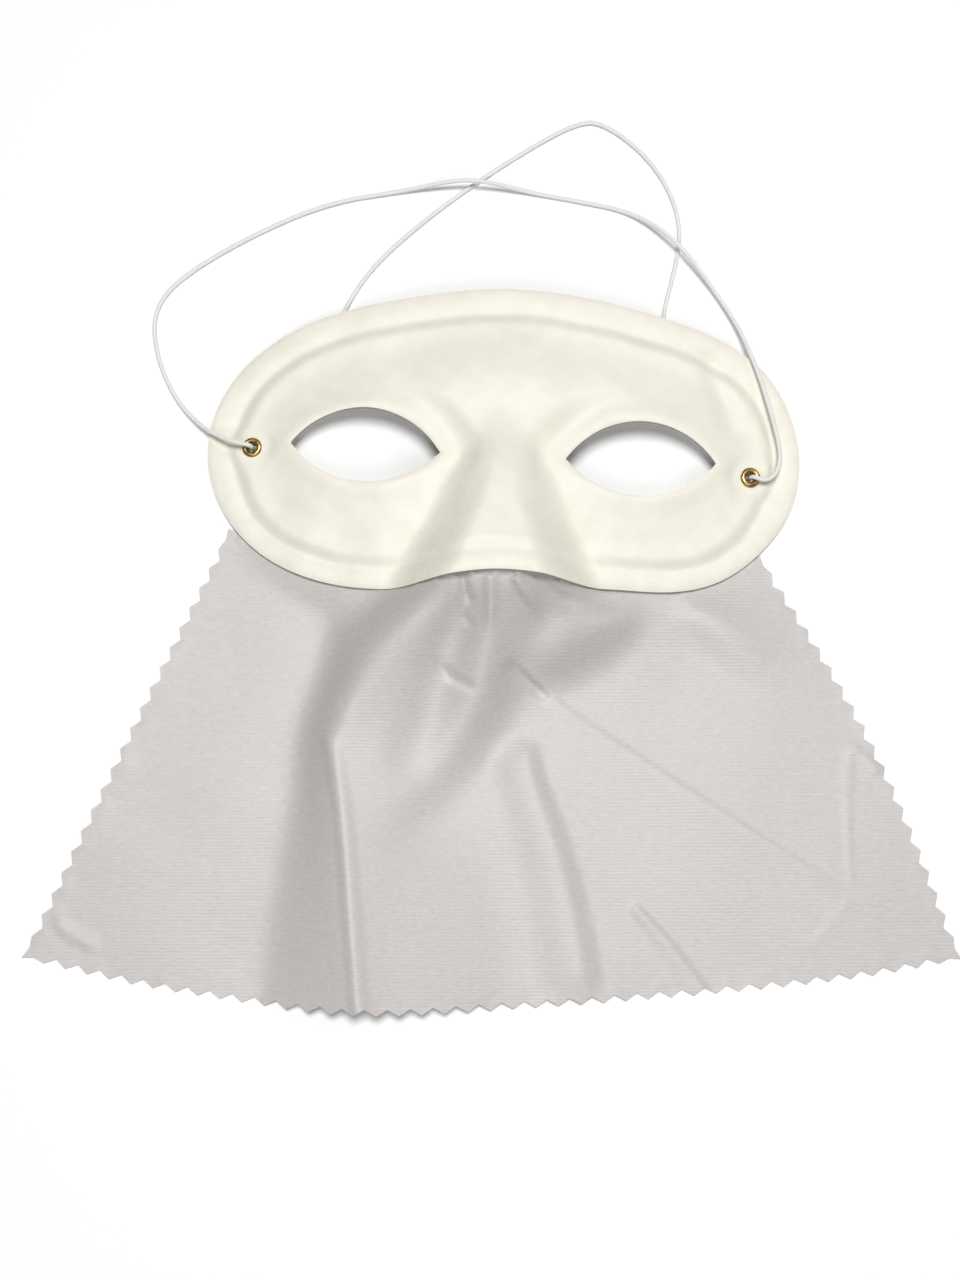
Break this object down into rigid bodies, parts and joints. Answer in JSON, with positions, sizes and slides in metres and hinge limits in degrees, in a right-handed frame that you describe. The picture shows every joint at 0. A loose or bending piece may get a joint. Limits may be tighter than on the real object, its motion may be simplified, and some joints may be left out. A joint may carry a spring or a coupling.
{
  "type": "domino half mask",
  "caption": "Satin-covered moulded half mask with brass eyelets, a thin elastic loop and a pinked cloth veil hung from its lower edge.",
  "frame": {"origin": "on the mask's midline, level with the eye corners, on the plane that the mask lies on", "axes": "+X across the mask, +Y towards the forehead, +Z out of the wearer's face through the satin side"},
  "size_m": [0.2879, 0.2947, 0.0266],
  "materials": {
    "satin": "satin",
    "pressed_core": "matte",
    "lining_cloth": "matte",
    "brass": "polished",
    "glue": "gloss",
    "veil_cloth": "satin",
    "elastic": "matte"
  },
  "bodies": {
    "mask": {"outer_cover": "satin", "stiffener_shell": "pressed_core", "rear_lining": "lining_cloth", "eyelet_left": "brass", "eyelet_right": "brass", "glue_line": "glue", "veil_top": "veil_cloth", "elastic_cord": "elastic", "elastic_knot": "elastic"},
    "veil": {"veil_panel": "veil_cloth"}
  },
  "joints": [
    {"name": "veil_lift", "type": "hinge", "parent": "mask", "child": "veil", "pos_m": [0, -0.085, 0.00022], "axis": [-1, 0, 0], "range_deg": [0, 120]}
  ]
}
